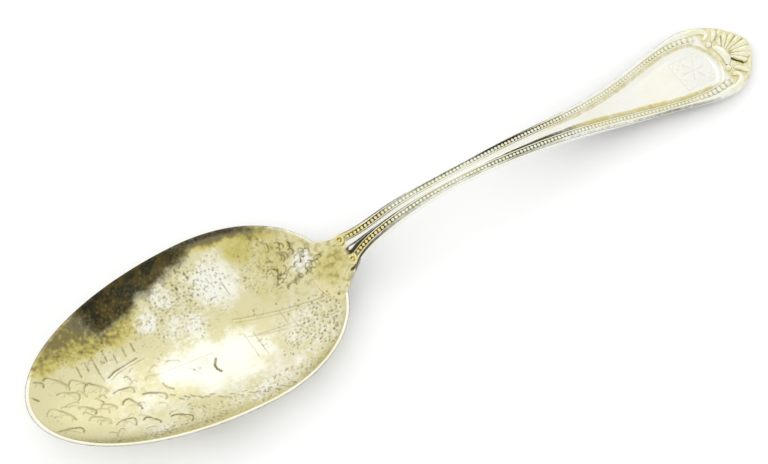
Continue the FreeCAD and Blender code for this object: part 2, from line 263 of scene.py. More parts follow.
def mesh_piece(name, points, faces, slot, nodes, layers):
    """A mesh from millimetre points in spoon stations, riding on the frame's one body."""
    mesh = bpy.data.meshes.new(name)
    points = np.array(points, float) - (SPOON_LENGTH / 2, 0, 0)
    mesh.from_pydata([tuple(p) for p in points * MM], [], [tuple(int(i) for i in face) for face in faces])
    mesh.update()
    for layer, values in layers.items():
        attribute = mesh.attributes.new(layer, "FLOAT", "POINT")
        attribute.data.foreach_set("value", np.asarray(values, np.float32))
    mesh.polygons.foreach_set("use_smooth", [True] * len(mesh.polygons))
    mesh.materials.append(METALS[slot])
    thing = new_object(name, mesh)
    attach(thing, "root")
    if nodes:
        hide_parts(*nodes)


def grid_faces(columns, rows, wrap=False, flip=False):
    """Quads of a grid of points numbered row by row, columns x rows of them."""
    steps = rows if wrap else rows - 1
    i, j = np.meshgrid(np.arange(columns - 1), np.arange(steps), indexing="ij")
    a = i * rows + j
    b = i * rows + (j + 1) % rows
    quads = np.stack([a, a + rows, b + rows, b], -1).reshape(-1, 4)
    return quads[:, ::-1] if flip else quads


def joined(parts):
    """One list of points and one of faces from several (points, faces)."""
    points, faces, count = [], [], 0
    for part_points, part_faces in parts:
        points.append(np.asarray(part_points, float))
        faces += [[int(i) + count for i in face] for face in part_faces]
        count += len(part_points)
    return np.concatenate(points), faces


def field_noise(points, size, seed):
    """Smooth noise from -1 to 1 at 3-D points, with lumps of that size."""
    offset = Vector((seed * 17.3, seed * 5.1, seed * 9.7))
    flat = np.asarray(points, float).reshape(-1, 3) / size
    return np.array([noise.noise(Vector(p) + offset) for p in flat]).reshape(points.shape[:-1])


def plan_noise(station, side, size, seed):
    return field_noise(np.stack([station, side, np.zeros_like(station)], -1), size, seed)


# ---- engraving of the bowl
def stroke_depth(station, side, line, width):
    """1 on a polyline's middle, falling to 0 at its edges."""
    best = np.full(station.shape, 9.0)
    for (ax, ay), (bx, by) in zip(line[:-1], line[1:]):
        dx, dy = bx - ax, by - ay
        t = np.clip(((station - ax) * dx + (side - ay) * dy) / (dx * dx + dy * dy + 1e-9), 0, 1)
        best = np.minimum(best, np.hypot(station - ax - t * dx, side - ay - t * dy))
    return np.clip(1 - (best / width) ** 2, 0, None)


def lobe(station, side, span, height, lean, skew=0.0):
    """A scallop: an arch of that span and height over its middle, leaning across the bowl."""
    turn = math.radians(lean)
    ts = np.linspace(0, math.pi, 9)
    x = -span / 2 * np.cos(ts) + skew * span * np.sin(ts)
    y = height * (np.sin(ts) + 0.12 * np.sin(3 * ts + 9 * skew) + 0.05 * np.sin(5 * ts + 20 * skew))
    cos, sin = math.cos(turn), math.sin(turn)
    return list(zip(station + x * cos - y * sin, side + x * sin + y * cos))


# (station, side, span, height) of each rock at the tip
ROCKS = (
    (3.6, 4.9, 2.2, 0.7), (6.6, 3.9, 4.4, 1.0), (9.9, 2.6, 3.0, 0.8), (7.2, 1.1, 3.6, 1.2),
    (12.0, 0.2, 4.0, 1.5), (15.9, -1.9, 3.4, 0.9), (20.0, -5.0, 4.0, 1.0), (4.6, -2.2, 4.6, 1.5),
    (8.9, -2.6, 3.0, 0.8), (9.8, -5.6, 3.6, 1.2), (13.3, -8.2, 3.2, 1.5), (15.9, -5.2, 3.4, 1.3),
    (4.6, -5.5, 4.2, 0.9), (21.8, -11.7, 3.8, 1.1), (17.4, -9.6, 3.0, 0.7), (12.4, -3.6, 2.6, 0.8),
)
# (station, low side, high side) of each post
FENCE = (
    (11.0, 3.7, 5.7), (12.6, 4.2, 6.0), (14.0, 3.1, 6.5), (16.2, 4.7, 6.7),
    (17.6, 3.7, 5.4), (19.5, 4.2, 6.0), (21.2, 4.5, 6.1),
)
TRESTLE_POSTS = (
    (39.2, -6.8, -1.8), (40.8, -7.4, -2.2), (46.7, -4.0, -1.2),
    (47.8, -5.6, -2.0), (51.5, -5.6, -3.0),
)
# single strokes: (polyline, half width, depth)
STROKES = (
    # the tip, the road and the shore
    ([(1.0, 3.4), (2.0, 3.0), (2.7, 2.2)], 0.2, 0.1),
    ([(14.1, 3.1), (14.1, 1.4)], 0.13, 0.05),
    ([(14.9, 1.8), (16.4, 2.5), (18.9, 2.9), (20.9, 3.2)], 0.2, 0.09),
    ([(15.2, 1.2), (16.7, 1.9), (19.0, 2.3), (22.0, 2.6)], 0.13, 0.05),
    ([(20.5, -1.2), (27.0, -1.6), (32.8, -2.0)], 0.12, 0.035),
    ([(22.5, -3.2), (22.7, -4.2), (23.6, -5.2)], 0.18, 0.08),
    # the trestle's brace and a mast on the far bank
    ([(41.4, -2.9), (46.5, -4.2), (49.6, -4.9)], 0.14, 0.035),
    ([(40.8, 9.0), (41.0, 6.4)], 0.15, 0.06),
    # the sail and its hull in the middle of the water
    ([(32.7, -3.3), (31.9, -4.4), (31.9, -5.3), (32.3, -6.1)], 0.26, 0.11),
    ([(27.3, -2.3), (28.4, -3.4), (29.2, -4.9)], 0.13, 0.04),
    ([(31.3, -2.3), (30.8, -4.4)], 0.12, 0.04),
)


def rock_strokes(rng):
    """Rocks at the tip, each a leaning arch in two cuts with a small one inside, and loose curls."""
    lines = []
    for station, side, span, height in ROCKS:
        lean, skew = -32 + rng.uniform(-14, 14), rng.uniform(-0.22, 0.22)
        arch = lobe(station, side, span, height, lean, skew)
        lines.append((arch[:5], rng.uniform(0.15, 0.2), rng.uniform(0.05, 0.1)))
        lines.append((arch[4:], rng.uniform(0.15, 0.22), rng.uniform(0.05, 0.1)))
        lines.append((lobe(station + 0.3, side - 0.4, span * 0.55, height * 0.7, lean, -skew), 0.13, 0.035))
    for _ in range(30):
        station, side = rng.uniform(3.5, 26), rng.uniform(-11, 1.5)
        if math.hypot((station - BOWL_WIDEST) / 34.5, side / 16.5) > 1:
            continue
        span, height = rng.uniform(0.8, 2.2), rng.uniform(0.2, 0.7)
        curl = lobe(station, side, span, height, rng.uniform(-90, 30), rng.uniform(-0.3, 0.3))
        lines.append((curl, 0.14, rng.uniform(0.03, 0.06)))
    return lines


def bank_strokes(rng):
    """Short marks along the near bank, and small curls for the leaves of the bank near the heel."""
    lines = []
    for k in range(20):
        t = k / 19
        station, side = 22.5 + 18.5 * t, -6.3 - 5.2 * math.sin(t * 1.3) - 4.6 * t + rng.uniform(-0.5, 0.5)
        lines.append(([(station, side), (station + 0.6, side - rng.uniform(0.2, 0.9))], 0.17, 0.07))
    for _ in range(46):
        station, side = rng.uniform(49.5, 57.5), rng.uniform(1.5, 10.5)
        if math.hypot((station - BOWL_WIDEST) / 20.8, side / 15.8) > 1:
            continue
        span, height = rng.uniform(0.8, 1.9), rng.uniform(0.3, 0.8)
        lines.append((lobe(station, side, span, height, rng.uniform(-120, 60)), 0.17, 0.08))
    return lines


def engraved_lines():
    """(polyline, half width, depth) of each engraved stroke of the bowl's little landscape."""
    rng = random.Random(5)
    lines = rock_strokes(rng)
    for station, low, high in FENCE:
        lines.append(([(station + 0.1, high), (station, low)], 0.17, 0.08))
    for offset, width, depth in ((0.0, 0.15, 0.045), (-0.75, 0.13, 0.03), (-4.2, 0.13, 0.03)):
        rail = [(39.0, 2.0 + offset), (47.0, -1.0 + offset), (54.4, -3.6 + offset)]
        lines.append((rail, width, depth))
    for station, low, high in TRESTLE_POSTS:
        lines.append(([(station, high), (station + 0.1, low)], 0.15, 0.035))
    return lines + list(STROKES) + bank_strokes(rng)


def inside(polygon, station, side):
    """Whether a plan point is inside a polygon."""
    hit = False
    for (ax, ay), (bx, by) in zip(polygon, polygon[1:] + polygon[:1]):
        if (ay > side) != (by > side) and station < (bx - ax) * (side - ay) / (by - ay) + ax:
            hit = not hit
    return hit


# stippled stretches: (polygon, spacing, depth, share of dots left out)
STIPPLED = (
    ([(25.0, 7.0), (28.0, 12.0), (34.0, 14.0), (43.5, 11.5), (42.0, 7.6), (34.0, 7.0)], 0.85, 0.075, 0.25),
    ([(20.0, 4.2), (25.0, 7.2), (41.0, 7.4), (40.0, 3.6), (30.0, 2.4)], 0.8, 0.035, 0.2),
    (
        [(46.5, 1.0), (57.5, -4.0), (57.4, -8.5), (52.0, -14.0), (43.0, -10.0), (42.5, -7.5), (48.5, -5.5)],
        0.9, 0.08, 0.22,
    ),
    ([(44.0, 5.0), (50.0, 4.0), (52.5, 11.0), (45.0, 13.0)], 0.9, 0.06, 0.35),
    (
        [
            (7.0, 7.0), (12.0, 7.0), (20.0, 8.4), (26.0, 10.5),
            (36.0, 14.4), (30.0, 16.2), (20.0, 14.8), (9.0, 9.6),
        ],
        0.75, 0.06, 0.15,
    ),
)


def stippled_points():
    """(station, side, radius, depth) of each dot, on jittered rows inside the stippled stretches."""
    rng = random.Random(11)
    points = []
    for polygon, spacing, depth, gone in STIPPLED:
        xs, ys = zip(*polygon)
        rows = int((max(ys) - min(ys)) / spacing) + 1
        columns = int((max(xs) - min(xs)) / spacing) + 1
        for row in range(rows):
            for column in range(columns):
                x = min(xs) + (column + 0.5 * (row % 2) + rng.uniform(-0.32, 0.32)) * spacing
                y = min(ys) + (row + rng.uniform(-0.32, 0.32)) * spacing
                if rng.random() > gone and inside(polygon, x, y):
                    points.append((x, y, rng.uniform(0.18, 0.34), depth * rng.uniform(0.35, 1.15)))
    return points


LINES = engraved_lines()
DOTS = stippled_points()


def engraving(station, side):
    """Depth of the engraving in millimetres over plan points."""
    shape = station.shape
    station, side = station.ravel(), side.ravel()
    depth = np.zeros_like(station)
    for line, width, deep in LINES:
        xs, ys = zip(*line)
        near = (station > min(xs) - width) & (station < max(xs) + width)
        near &= (side > min(ys) - width) & (side < max(ys) + width)
        if near.any():
            depth[near] = np.maximum(depth[near], deep * stroke_depth(station[near], side[near], line, width))
    order = np.argsort(station)
    ordered = station[order]
    for x, y, radius, deep in DOTS:
        first, last = np.searchsorted(ordered, (x - radius, x + radius))
        near = order[first:last]
        away = np.hypot(station[near] - x, side[near] - y) / radius
        depth[near] = np.maximum(depth[near], deep * np.clip(1 - away**2, 0, None))
    return depth.reshape(shape)


def patches(station, side, spots):
    """The strongest of some soft round patches, each (station, side, reach, strength), by place."""
    level = np.zeros_like(station)
    for x, y, reach, strength in spots:
        away = np.hypot(station - x, side - y) / reach
        level = np.maximum(level, strength * smooth(1.25, 0.25, away))
    return level


def stippled(station, side):
    """1 where the bowl is stippled, 0 elsewhere, soft at the edges."""
    zones = ((34.0, 10.5, 8.5, 1.0), (31.0, 5.0, 9.0, 0.7), (51.0, -8.0, 6.5, 1.0))
    zones += ((48.0, 7.0, 6.0, 0.9), (14.0, 9.5, 7.0, 1.0), (24.0, 10.5, 6.0, 0.9))
    return np.maximum(patches(station, side, zones), 0.8 * smooth(-10.5, -13.0, side))


def hammered(station, side):
    """How strongly the metal is pebbled: on the far side of the heel and on the handle's root."""
    heel = smooth(46, 53, station) * smooth(-3.0, 2.5, side)
    root = smooth(55.5, 58, station)
    return np.maximum(heel, root)


def pebbles(station, side):
    """Height of the pebbling in millimetres, where it is at full strength."""
    return 0.07 * plan_noise(station, side, 1.1, 3) + 0.04 * plan_noise(station, side, 0.5, 4)


# soft patches in the bowl: (station, side, reach, strength)
BROWN_SPOTS = (
    (50.5, 8.8, 6.2, 0.6), (46.5, 13.0, 5.0, 0.75), (47.5, 3.4, 4.4, 0.45),
    (39.5, 1.2, 3.5, 0.35), (58.5, 0.0, 5.0, 0.66),
)
# worn white gilt, and two painted highlights beside the black tarnish at (25.5, 8.4) and (29.8, 11.0)
WORN_AND_HIGHLIGHT_SPOTS = (
    (39.5, 9.5, 6.0, 0.75), (17.5, 0.5, 6.0, 0.45), (54.5, 4.5, 2.6, 0.7), (31.0, 4.0, 6.0, 0.55),
    (48.5, -7.0, 8.0, 0.5), (33.0, -9.5, 6.0, 0.5), (25.5, 8.4, 2.8, 0.7), (29.8, 11.0, 2.8, 0.7),
    (19.0, -9.0, 9.0, 0.42), (40.0, -13.0, 10.0, 0.52),
)


def tarnish(station, side, radius):
    """Black tarnish, from 0 to 1, and golden brown, from 0 to 1.5, by place on the bowl."""
    cloud = plan_noise(station, side, 3.2, 31) + 0.5 * plan_noise(station, side, 1.1, 32)
    low = np.interp(station, (12, 16, 18, 23, 28, 36, 42), (12.2, 10.4, 9.6, 10.9, 13.0, 15.0, 16.9))
    black = smooth(-2.0, 1.6, side - low + 0.9 * cloud)
    black = black * smooth(11, 19, station + cloud) * smooth(47, 32, station)
    bank = smooth(4.2, 8.2, side + cloud) * smooth(1, 5, station) * smooth(30, 18, station)
    bank = bank * (1.0 + 0.25 * smooth(8.0, 11.0, side) + 0.35 * plan_noise(station, side, 0.7, 39))
    rim = smooth(0.88, 0.985, radius + 0.03 * cloud) * smooth(1.0, 6.0, side) * smooth(2, 12, station)
    rim = rim * (1 - 0.5 * smooth(50, 56, station))
    dark_rim = smooth(0.86, 0.99, radius + 0.04 * cloud) * (side > 0)
    dark_rim = dark_rim * smooth(30, 38, station) * smooth(60, 45, station)
    brown = np.maximum.reduce([bank, 0.8 * rim, 1.45 * dark_rim, patches(station, side, BROWN_SPOTS)])
    black = np.maximum(black, 0.75 * dark_rim * smooth(0.94, 1.0, radius))
    return black, np.clip(brown, 0, 1.5)


def gilding(station, side):
    """How yellow the gilt still is: worn white in the middle of the water and above it, with two painted
    highlights beside the black tarnish.
    """
    turned = np.stack([station - 32 + 0.25 * side, (side + 4.3 + 0.12 * (station - 32)) * 2.0], -1)
    ragged = 3.0 * plan_noise(station, side, 4.0, 36)
    water = smooth(17.0, 4.0, np.hypot(turned[..., 0], turned[..., 1]) + ragged)
    worn_and_highlight = patches(station, side, WORN_AND_HIGHLIGHT_SPOTS)
    cloud = 0.24 * plan_noise(station, side, 2.4, 33) + 0.2 * plan_noise(station, side, 0.9, 37)
    cloud += 0.35 * plan_noise(station, side, 0.45, 38) * (0.3 + stippled(station, side))
    return np.clip(0.9 - np.maximum(0.85 * water, worn_and_highlight) + cloud, 0, 1)


# ---- materials
def shader(name):
    """A new material, its node tree and its Principled shader."""
    material = bpy.data.materials.new(name)
    material.use_nodes = True
    return material, material.node_tree, material.node_tree.nodes["Principled BSDF"]


def feed(tree, socket, value):
    if isinstance(value, bpy.types.NodeSocket):
        tree.links.new(value, socket)
    else:
        socket.default_value = value


def math_node(tree, operation, a, b=0.0, clamp=False):
    node = tree.nodes.new("ShaderNodeMath")
    node.operation = operation
    node.use_clamp = clamp
    feed(tree, node.inputs[0], a)
    feed(tree, node.inputs[1], b)
    return node.outputs[0]


def plus(tree, a, b, clamp=False):
    return math_node(tree, "ADD", a, b, clamp)


def times(tree, a, b, clamp=False):
    return math_node(tree, "MULTIPLY", a, b, clamp)


def layer_value(tree, name):
    node = tree.nodes.new("ShaderNodeAttribute")
    node.attribute_name = name
    return node.outputs["Fac"]


def noise_value(tree, scale, detail=3.0, rough=0.55):
    """Noise in object space; scale is in lumps per metre."""
    coordinates = tree.nodes.new("ShaderNodeTexCoord")
    node = tree.nodes.new("ShaderNodeTexNoise")
    node.inputs["Scale"].default_value = scale
    node.inputs["Detail"].default_value = detail
    node.inputs["Roughness"].default_value = rough
    tree.links.new(coordinates.outputs["Object"], node.inputs["Vector"])
    return node.outputs["Fac"]


def remap(tree, value, low, high, out_low=0.0, out_high=1.0):
    node = tree.nodes.new("ShaderNodeMapRange")
    node.interpolation_type = "SMOOTHSTEP"
    feed(tree, node.inputs["Value"], value)
    for key, number in (("From Min", low), ("From Max", high), ("To Min", out_low), ("To Max", out_high)):
        node.inputs[key].default_value = number
    return node.outputs["Result"]


def mix_colour(tree, factor, first, second):
    node = tree.nodes.new("ShaderNodeMix")
    node.data_type = "RGBA"
    feed(tree, node.inputs["Factor"], factor)
    for socket, colour in zip([s for s in node.inputs if s.type == "RGBA"], (first, second)):
        feed(tree, socket, colour if isinstance(colour, bpy.types.NodeSocket) else (*colour, 1.0))
    return next(s for s in node.outputs if s.type == "RGBA")


def speckled(tree, name, mottled, strength):
    """A painted layer with its edges broken up by the mottling."""
    swing = times(tree, math_node(tree, "SUBTRACT", mottled, 0.5), strength)
    return plus(tree, layer_value(tree, name), swing)


def metal(name, clean, warm, roughness, gilt):
    """Worn metal: two cloudy tints, a gilt share, brown and black tarnish with painted shade in them on the
    handle, dark cuts and fine scratches.
    """
    material, tree, principled = shader(name)
    clouds = remap(tree, noise_value(tree, 160, 4), 0.35, 0.7)
    speckle = noise_value(tree, 1500, 5, 0.7)
    lumps = noise_value(tree, 420, 4, 0.6)
    mottled = plus(tree, times(tree, speckle, 0.55), times(tree, lumps, 0.45))

    colour = mix_colour(tree, clouds, clean, warm)
    patchy = plus(tree, layer_value(tree, "gilt"), times(tree, clouds, 0.15))
    colour = mix_colour(tree, remap(tree, patchy, 0.15, 0.85), colour, gilt)
    brown_level = speckled(tree, "brown", mottled, 1.5)
    brown = times(tree, remap(tree, brown_level, 0.2, 0.95), 0.85)
    deep = mix_colour(tree, remap(tree, brown_level, 0.75, 1.35), BROWN, DEEP_BROWN)
    colour = mix_colour(tree, brown, colour, deep)
    # black is tarnish on the bowl, and tarnish with painted shade in the handle's grooves, walls, gaps and
    # the ornaments' feet
    black_level = speckled(tree, "black", mottled, 1.3)
    colour = mix_colour(tree, times(tree, remap(tree, black_level, 0.1, 0.5), 0.42), colour, GREY_FILM_AND_SHADE)
    black = times(tree, remap(tree, black_level, 0.3, 0.95), 0.95)
    black_tarnish_and_shade = mix_colour(tree, remap(tree, lumps, 0.42, 0.6), BLACK_TARNISH_AND_SHADE, BROWN_BLACK_TARNISH_AND_SHADE)
    colour = mix_colour(tree, black, colour, black_tarnish_and_shade)
    cut = times(tree, layer_value(tree, "cut"), remap(tree, lumps, 0.3, 0.62, 0.5, 1.0), clamp=True)
    colour = mix_colour(tree, cut, colour, CUT_SHADE)
    tree.links.new(colour, principled.inputs["Base Color"])

    dull = times(tree, math_node(tree, "MAXIMUM", black, times(tree, brown, 0.6)), 0.25)
    rough = remap(tree, speckle, 0.3, 0.7, roughness * 0.8, roughness * 1.25)
    tree.links.new(plus(tree, rough, dull, clamp=True), principled.inputs["Roughness"])
    principled.inputs["Metallic"].default_value = 1.0
    bump = tree.nodes.new("ShaderNodeBump")
    bump.inputs["Strength"].default_value = 0.25
    bump.inputs["Distance"].default_value = 0.00006
    tree.links.new(plus(tree, speckle, times(tree, lumps, 0.5)), bump.inputs["Height"])
    tree.links.new(bump.outputs["Normal"], principled.inputs["Normal"])
    return material


BROWN, DEEP_BROWN = (0.6, 0.51, 0.115), (0.16, 0.12, 0.03)
# greys and blacks for tarnish and for painted shade
GREY_FILM_AND_SHADE = (0.17, 0.18, 0.16)
BLACK_TARNISH_AND_SHADE, BROWN_BLACK_TARNISH_AND_SHADE = (0.018, 0.02, 0.014), (0.085, 0.06, 0.02)
CUT_SHADE = (0.2, 0.165, 0.055)
METALS = {
    "gilt_silver": metal("pale_gilt", (0.96, 0.95, 0.83), (0.93, 0.92, 0.76), 0.3, (0.76, 0.71, 0.42)),
    "silver": metal("struck_silver", (0.94, 0.93, 0.86), (0.9, 0.885, 0.76), 0.2, (0.8, 0.74, 0.42)),
    "bead_silver": metal("bead_silver", (0.93, 0.92, 0.78), (0.87, 0.85, 0.6), 0.18, (0.87, 0.77, 0.36)),
}


# ---- bowl
def border_ring(columns, rows):
    """Indices of a disc grid's outer points, in order."""
    index = np.arange((columns + 1) * (rows + 1)).reshape(columns + 1, rows + 1)
    return np.r_[index[:-1, 0], index[-1, :-1], index[:0:-1, -1], index[0, :0:-1]]


def bowl_rim(inner, ring_angle, steps=6):
    """Rings from the inside's edge over the round crown, and one more below it on the outside."""
    outer, _ = egg_point(ring_angle, rim_share(ring_angle, 0.0, RIM_CROWN), 0.0)
    below, _ = egg_point(ring_angle, rim_share(ring_angle, 0.0, RIM_CROWN + 0.5), 0.0)
    rings = []
    for k in range(1, steps + 1):
        t = math.pi * k / steps
        level = (inner + outer) / 2 + (inner - outer) / 2 * math.cos(t)
        level[:, 2] += RIM_CROWN * math.sin(t)
        rings.append(level)
    return rings + [below]


def make_bowl_inside():
    """The engraved, gilt face of the bowl, with the rim's crown."""
    columns, rows = BOWL_GRID
    angle, radius = disc_grid(columns, rows)
    point, normal = egg_point(angle, radius * rim_share(angle, RIM_WALL, RIM_CROWN), wall_at(radius))
    station, side = point[..., 0], point[..., 1]
    depth = engraving(station, side)
    rise = hammered(station, side) * pebbles(station, side)
    keep = 1 - smooth(0.97, 1.0, radius)
    point = point + normal * ((depth - rise) * keep)[..., None]

    flat = point.reshape(-1, 3)
    ring = border_ring(columns, rows)
    rim_rings = bowl_rim(flat[ring], angle.ravel()[ring])
    levels = np.vstack([ring, len(flat) + np.arange(len(ring) * len(rim_rings)).reshape(-1, len(ring))])
    ahead = np.roll(levels, -1, axis=1)
    rim_faces = np.stack([levels[:-1], levels[1:], ahead[1:], ahead[:-1]], -1).reshape(-1, 4)
    faces = np.concatenate([grid_faces(columns + 1, rows + 1), rim_faces])
    points = np.concatenate([flat] + rim_rings)

    black, brown = tarnish(station, side, radius)
    flecks = smooth(0.1, 0.5, plan_noise(station, side, 0.42, 34))
    flecks = flecks * smooth(-0.1, 0.35, plan_noise(station, side, 3.4, 35) + stippled(station, side) - 0.3)
    cut = (np.clip(depth / 0.09, 0, 1) + np.clip(-rise / 0.06, 0, 0.5) + 0.6 * flecks) * keep
    extra = len(ring) * len(rim_rings)
    outside = 0.6 * (np.arange(extra) >= extra - 3 * len(ring))
    layers = {
        "cut": np.r_[np.clip(cut, 0, 1).ravel(), np.zeros(extra)],
        "black": np.r_[black.ravel(), np.maximum(np.tile(black.ravel()[ring], len(rim_rings)), outside)],
        "brown": np.r_[brown.ravel(), np.tile(brown.ravel()[ring] * 0.9, len(rim_rings))],
        "gilt": np.r_[gilding(station, side).ravel(), np.full(extra, 0.3)],
    }
    mesh_piece("bowl_inside", points, faces, "gilt_silver", ["bowl"], layers)


def make_bowl_back():
    """The plain outside of the bowl, worn flat where it rests."""
    columns, rows = 200, 120
    angle, radius = disc_grid(columns, rows)
    point, _ = egg_point(angle, radius * rim_share(angle, 0.0, RIM_CROWN), 0.0)
    point[..., 2] = np.maximum(point[..., 2], 0.0)
    wear = smooth(0.0, 0.25, 0.3 - point[..., 2])
    stretch = field_noise(point, 6.0, 8)
    layers = {
        "black": np.clip(0.25 + 0.5 * stretch, 0, 1).ravel() * (1 - wear.ravel()),
        "brown": np.clip(0.25 + 0.6 * stretch + 0.3 * smooth(0.9, 1, radius), 0, 1).ravel(),
    }
    faces = grid_faces(columns + 1, rows + 1, flip=True)
    mesh_piece("bowl_back", point.reshape(-1, 3), faces, "silver", [], layers)


def make_drop():
    """The tongue under the bowl's heel: an ellipsoid blister with a keeled middle."""
    rings, spokes = 40, 40
    along, around = np.meshgrid(np.linspace(0, math.pi, rings + 1), np.arange(spokes), indexing="ij")
    around = around * 2 * math.pi / spokes
    across, up = np.sin(along) * np.cos(around), np.sin(along) * np.sin(around)
    keel = 1 + 0.1 * np.exp(-((across / 0.25) ** 2)) * (up < 0)
    x, side, z = -8.5 * np.cos(along), 3.2 * across, 1.5 * up * keel
    cos, sin = math.cos(math.radians(20)), math.sin(math.radians(20))
    station, height = 55.5 + x * cos - z * sin, 3.3 + x * sin + z * cos
    under_bowl = np.where(station < 59.0, egg_height(station, side, 0.25), 9.0)
    under_bowl = np.minimum(under_bowl, back_height(station) + 0.5)
    points = np.stack([station, side, np.clip(height, 0.05, under_bowl)], -1).reshape(-1, 3)
    layers = {
        "black": np.clip(0.2 + 0.6 * field_noise(points, 3.0, 9), 0, 1),
        "brown": np.full(len(points), 0.25),
    }
    mesh_piece("drop", points, grid_faces(rings + 1, spokes, wrap=True), "silver", ["heel_drop"], layers)


# ---- handle
def plan_half_width(station):
    """The handle's outline, with the round end of its root under the bowl."""
    round_end = np.sqrt(np.clip(1 - ((ROOT_END - station) / (ROOT_END - ROOT_START)) ** 2, 0, 1))
    beyond = half_width(np.maximum(station, ROOT_END))
    return np.where(station < ROOT_END, ROOT_HALF_WIDTH * round_end, beyond)


def channel_margin(station, side):
    """Distance inside the channel's plan, negative outside it."""
    across = straight_channel(station) - np.abs(side)
    start_half = float(channel_half_width(BORDER_START + 0.5))
    centre = CHANNEL_START + start_half
    near_start = start_half - np.hypot(np.minimum(station - centre, 0), side)
    end_half = float(channel_half_width(CHANNEL_STRAIGHT_END))
    bulge = CHANNEL_END - CHANNEL_STRAIGHT_END
    end_radius = (end_half**2 + bulge**2) / (2 * bulge)
    near_end = end_radius - np.hypot(station - (CHANNEL_END - end_radius), side)
    margin = np.where(station < centre, near_start, across)
    return np.where(station > 138.5, np.minimum(margin, near_end), margin)


def channel_wall(station):
    """Width of the channel's coved side: half of the channel in the stem, a band in the field."""
    wall = np.interp(station, (62, 100, 125, 140), (1.0, 1.5, 1.6, 1.3))
    return np.minimum(wall, np.maximum(straight_channel(station), 0.3))


def ornament(station, side):
    """Depth of the panel engraved on the field: a lozenge lattice in a plain frame, with a rosette."""
    x, y = (station - 137.6) / 3.9, (side + 0.2) / 3.5
    from_edge = 1 - np.maximum(np.abs(x), np.abs(y))
    lattice = np.maximum(np.abs(np.sin((station + side) * 2.2)), np.abs(np.sin((station - side) * 2.2)))
    away, round_angle = np.hypot(station - 137.5, side), np.arctan2(side, station - 137.5)
    lines = smooth(0.93, 1.0, lattice) * 0.6 * smooth(2.4, 2.8, away)
    petals = smooth(0.7, 1.0, np.cos(6 * round_angle) * 0.5 + 0.5) * smooth(0, 0.4, 2.6 - away)
    frame_line = smooth(0.1, 0.06, from_edge) * smooth(0, 0.05, from_edge)
    return np.maximum(smooth(0, 0.08, from_edge) * np.maximum(lines, petals), frame_line) * 0.025


def root_height(station, side):
    """The root's face: it sinks into the bowl's inside and rises from it like a fillet."""
    out = np.clip(np.hypot((station - BOWL_WIDEST) / BOWL_BACK_REACH, side / BOWL_HALF_WIDTH), 0, 1)
    inner = np.minimum(egg_height(station, side, wall_at(out)) + 0.02, rim_height(station) + RIM_CROWN)
    rise = smooth(57.2, BORDER_START, station)
    return inner * (1 - rise) + seat_height(station) * rise


def handle_underside(stations, half, across=20):
    """Points and black of the back: cushion shaped in the stem, thin edged in the blade."""
    station, under = np.meshgrid(stations, np.cos(np.linspace(0, math.pi, across + 1)), indexing="ij")
    back = back_height(stations)[:, None]
    face = np.maximum(seat_height(stations)[:, None], back + 0.3)
    corner = 0.9 * (1 - np.sqrt(np.clip(1 - np.abs(under) ** 3.2, 0, 1)))
    stem_z = back + np.minimum(corner, np.maximum(face - 0.4 - back, 0.1))
    blade_z = back + (face - 0.55 - back) * np.abs(under) ** 2.6
    thin = smooth(110.0, 127.0, stations)[:, None]
    z = stem_z * (1 - thin) + blade_z * thin
    y = under * half[:, None] * 0.999
    z = np.where(station < 61.0, np.minimum(z, egg_height(station, y, 0.45)), z)
    turned_in = 0.95 - 0.11 * thin
    # mottled dark below the turned-in edge
    black = 0.25 + 0.4 * plan_noise(station, y, 5.0, 13)
    black = black * smooth(turned_in + 0.05, turned_in - 0.05, np.abs(under))
    # painted shade: 0.5 darker below the turned-in edge
    black += 0.5 * smooth(turned_in + 0.02, turned_in - 0.02, np.abs(under))
    # painted shadow on the flare's sides under the neck
    black += 0.8 * smooth(63.5, 61.0, station) * smooth(57.8, 59.2, station)
    return np.stack([station, y, np.maximum(z, 0.0)], -1), np.clip(black, 0, 1)


